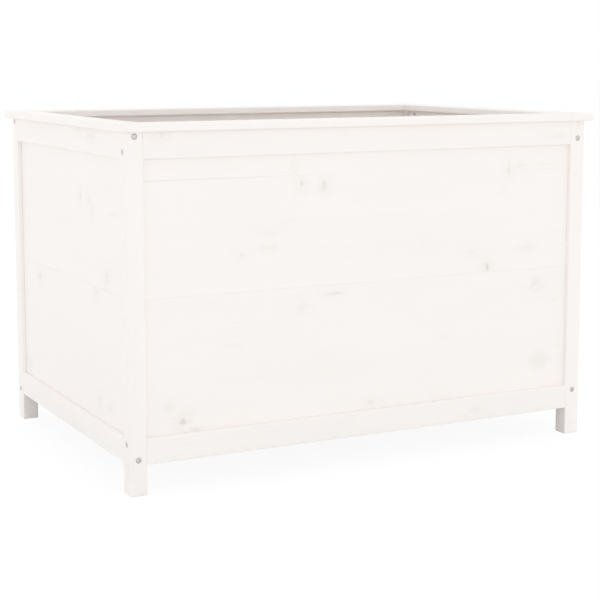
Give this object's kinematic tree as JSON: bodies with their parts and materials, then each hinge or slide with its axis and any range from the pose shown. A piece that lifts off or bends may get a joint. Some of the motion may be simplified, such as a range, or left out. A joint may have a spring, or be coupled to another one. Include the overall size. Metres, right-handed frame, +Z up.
{
  "type": "raised garden bed",
  "caption": "Rectangular raised garden bed of white painted pine, with a flat overhanging rim, panelled sides, short square legs and a slatted floor inside.",
  "frame": {"origin": "on the ground, under the middle of the bed", "axes": "+X along the long side, to the right as seen from the front; +Y from the front to the back; +Z up"},
  "size_m": [1.195, 0.82, 0.78],
  "materials": {
    "white_pine": "satin white paint on solid pine, with knots and grain faintly showing through",
    "floor_pine": "thin white paint on sawn pine",
    "beech_dowel": "bare turned beech",
    "zinc_steel": "bright zinc plating, slightly dulled"
  },
  "bodies": {
    "root": {"back_bottom_rail": "white_pine", "back_ledger": "floor_pine", "back_left_post": "white_pine", "back_lower_board": "white_pine", "back_right_post": "white_pine", "back_rim_board": "white_pine", "back_top_rail": "white_pine", "back_upper_board": "white_pine", "barrel_nuts": "zinc_steel", "connector_bolts": "zinc_steel", "floor_joist": "floor_pine", "floor_slat_01": "floor_pine", "floor_slat_02": "floor_pine", "floor_slat_03": "floor_pine", "floor_slat_04": "floor_pine", "floor_slat_05": "floor_pine", "floor_slat_06": "floor_pine", "floor_slat_07": "floor_pine", "floor_slat_08": "floor_pine", "floor_slat_09": "floor_pine", "floor_slat_10": "floor_pine", "floor_slat_11": "floor_pine", "floor_slat_12": "floor_pine", "front_bottom_rail": "white_pine", "front_ledger": "floor_pine", "front_left_post": "white_pine", "front_lower_board": "white_pine", "front_right_post": "white_pine", "front_rim_board": "white_pine", "front_top_rail": "white_pine", "front_upper_board": "white_pine", "ledger_screws": "zinc_steel", "left_bottom_rail": "white_pine", "left_lower_board": "white_pine", "left_rim_board": "white_pine", "left_top_rail": "white_pine", "left_upper_board": "white_pine", "rail_dowels": "beech_dowel", "right_bottom_rail": "white_pine", "right_lower_board": "white_pine", "right_rim_board": "white_pine", "right_top_rail": "white_pine", "right_upper_board": "white_pine", "rim_screws": "zinc_steel", "slat_screws": "zinc_steel"}
  },
  "joints": []
}
